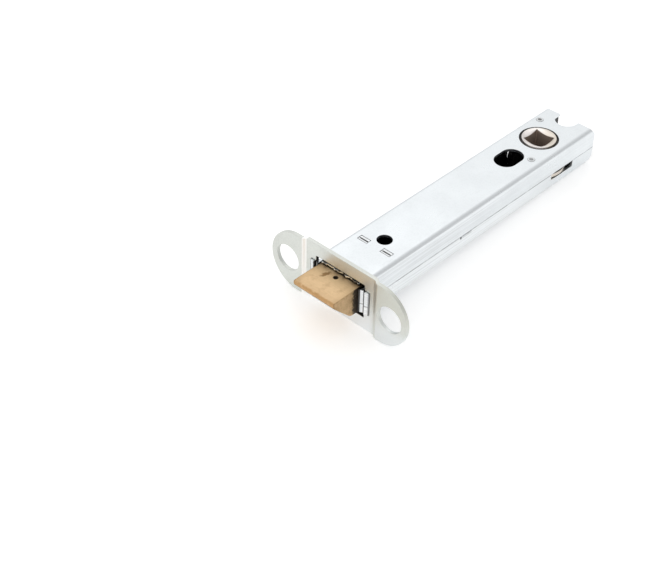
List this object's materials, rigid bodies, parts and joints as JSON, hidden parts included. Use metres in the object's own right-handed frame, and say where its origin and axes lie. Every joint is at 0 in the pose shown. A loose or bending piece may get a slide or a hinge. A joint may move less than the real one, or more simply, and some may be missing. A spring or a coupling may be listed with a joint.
{
  "type": "tubular door latch",
  "caption": "Long flat-sided tubular door latch: round-ended steel forend, bevelled brass latch bolt, folded zinc-plated case, square spindle follower and sprung retractor.",
  "frame": {"origin": "centre of the forend, on the front plane of its two raised screw ends", "axes": "+X along the forend's length, +Y back along the case, +Z along the spindle hole; the latch bolt points towards -Y with its bevel towards -Z"},
  "size_m": [0.061, 0.1401, 0.0234],
  "materials": {
    "case_plating": "bright zinc plate, smooth and slightly mottled",
    "forend_plating": "satin zinc plate",
    "guide_steel": "zinc-plated strip",
    "bright_steel": "bright drawn steel",
    "spring_steel": "drawn spring wire",
    "bolt_brass": "satin brass",
    "follower_metal": "nickel-plated sintered steel",
    "spacer_plastic": "black moulding"
  },
  "bodies": {
    "case": {"forend": "forend_plating", "upper_case": "case_plating", "lower_case": "case_plating", "upper_bolt_guide": "guide_steel", "lower_bolt_guide": "guide_steel", "spring_bridge": "guide_steel", "left_spring_pin": "bright_steel", "right_spring_pin": "bright_steel", "left_return_spring": "spring_steel", "right_return_spring": "spring_steel", "front_pillar": "bright_steel", "rear_pillar": "bright_steel", "tail_spacer": "spacer_plastic"},
    "retractor": {"retractor": "guide_steel", "spring_washer": "bright_steel", "bolt_spring": "spring_steel"},
    "bolt": {"latch_bolt": "bolt_brass", "bolt_rod": "bright_steel", "bolt_pin": "bright_steel", "rod_clip": "spring_steel"},
    "follower": {"follower": "follower_metal"}
  },
  "joints": [
    {"name": "follower_turn", "type": "hinge", "parent": "case", "child": "follower", "pos_m": [0, 0.108, 0], "axis": [0, 0, 1], "range_deg": [0, 66.1]},
    {"name": "retractor_slide", "type": "slide", "parent": "case", "child": "retractor", "axis": [0, 1, 0], "range_m": [0, 0.0096], "stiffness_N_per_m": 150, "springref_m": -0.01, "deforming": ["left_return_spring", "right_return_spring"]},
    {"name": "bolt_push", "type": "slide", "parent": "retractor", "child": "bolt", "axis": [0, 1, 0], "range_m": [0, 0.0108], "stiffness_N_per_m": 80, "springref_m": -0.01, "deforming": ["bolt_spring"]}
  ],
  "couplings": [
    {"joint": "follower_turn", "follows": "retractor_slide", "rad_per_m": 120}
  ]
}
